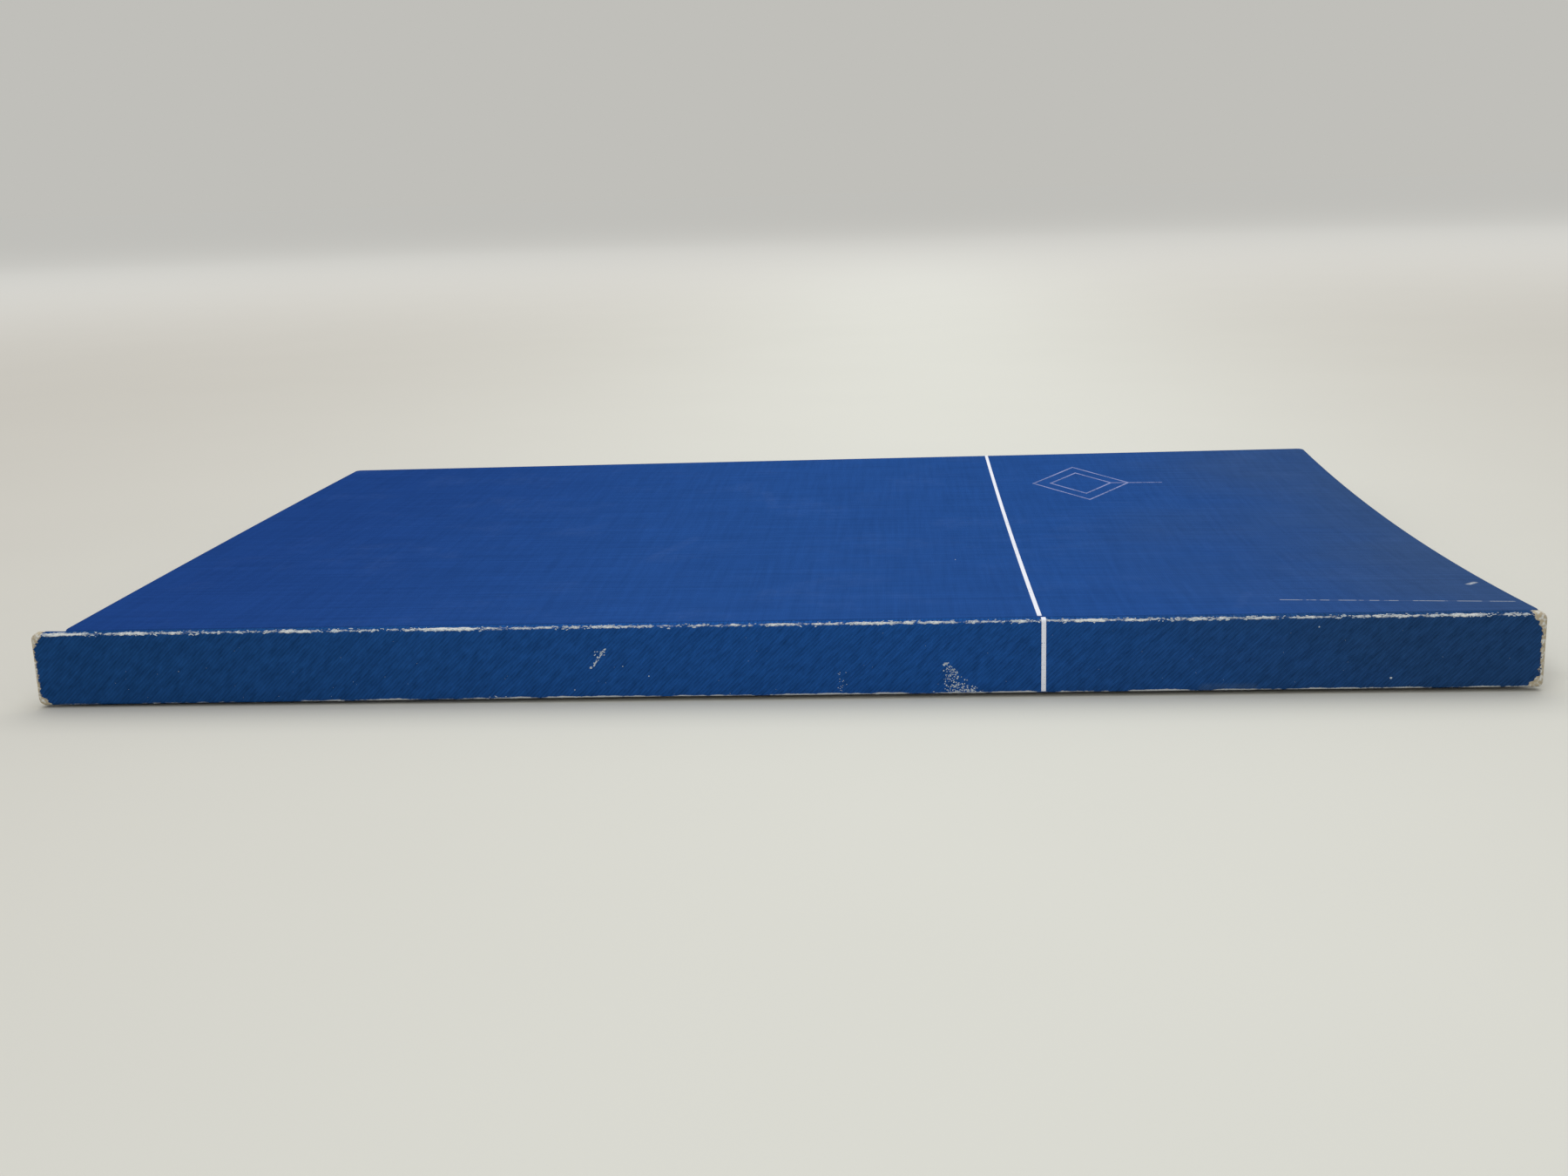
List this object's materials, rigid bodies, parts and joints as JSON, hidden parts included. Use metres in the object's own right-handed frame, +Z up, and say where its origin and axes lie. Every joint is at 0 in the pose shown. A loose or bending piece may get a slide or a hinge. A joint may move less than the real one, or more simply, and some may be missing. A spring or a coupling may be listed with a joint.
{
  "type": "art book",
  "caption": "Slim cloth-bound hardcover book lying flat, with a square spine, warped front cover and covers that open.",
  "frame": {"origin": "middle of the book's outline on the surface that it lies on", "axes": "+X along the spine from head to tail, +Y from the spine to the fore edge, +Z up, out of the front cover"},
  "size_m": [0.305, 0.2171, 0.0159],
  "materials": {
    "cover_cloth": "woven book cloth, royal blue, lightly rubbed",
    "spine_cloth": "woven book cloth, blue, worn pale along the edges",
    "board": "grey-brown binder's board",
    "leaves": "smooth cream-white paper",
    "endpaper": "plain off-white endpaper",
    "gauze": "open cotton gauze, glued",
    "kraft": "brown kraft paper, glued",
    "band": "woven cotton band, off-white and blue",
    "print": "white printed line",
    "print_faint": "thin pale lilac printed line"
  },
  "bodies": {
    "back_cover": {"back_board": "board", "back_cloth": "cover_cloth", "back_super_wing": "gauze", "back_pastedown": "endpaper"},
    "book_block": {"page_block": "leaves", "front_flyleaf": "endpaper", "back_flyleaf": "endpaper", "super": "gauze", "spine_lining": "kraft", "head_band": "band", "tail_band": "band", "spine_board": "board", "spine_cloth": "spine_cloth", "spine_stripe": "print"},
    "front_cover": {"front_board": "board", "front_cloth": "cover_cloth", "front_super_wing": "gauze", "front_pastedown": "endpaper", "cover_stripe": "print", "cover_motif": "print_faint"}
  },
  "joints": [
    {"name": "back_joint", "type": "hinge", "parent": "back_cover", "child": "book_block", "pos_m": [0, -0.1023, 0.00005], "axis": [1, 0, 0], "range_deg": [0, 180]},
    {"name": "front_joint", "type": "hinge", "parent": "book_block", "child": "front_cover", "pos_m": [0, -0.1023, 0.01511], "axis": [1, 0, 0], "range_deg": [0, 180]}
  ]
}
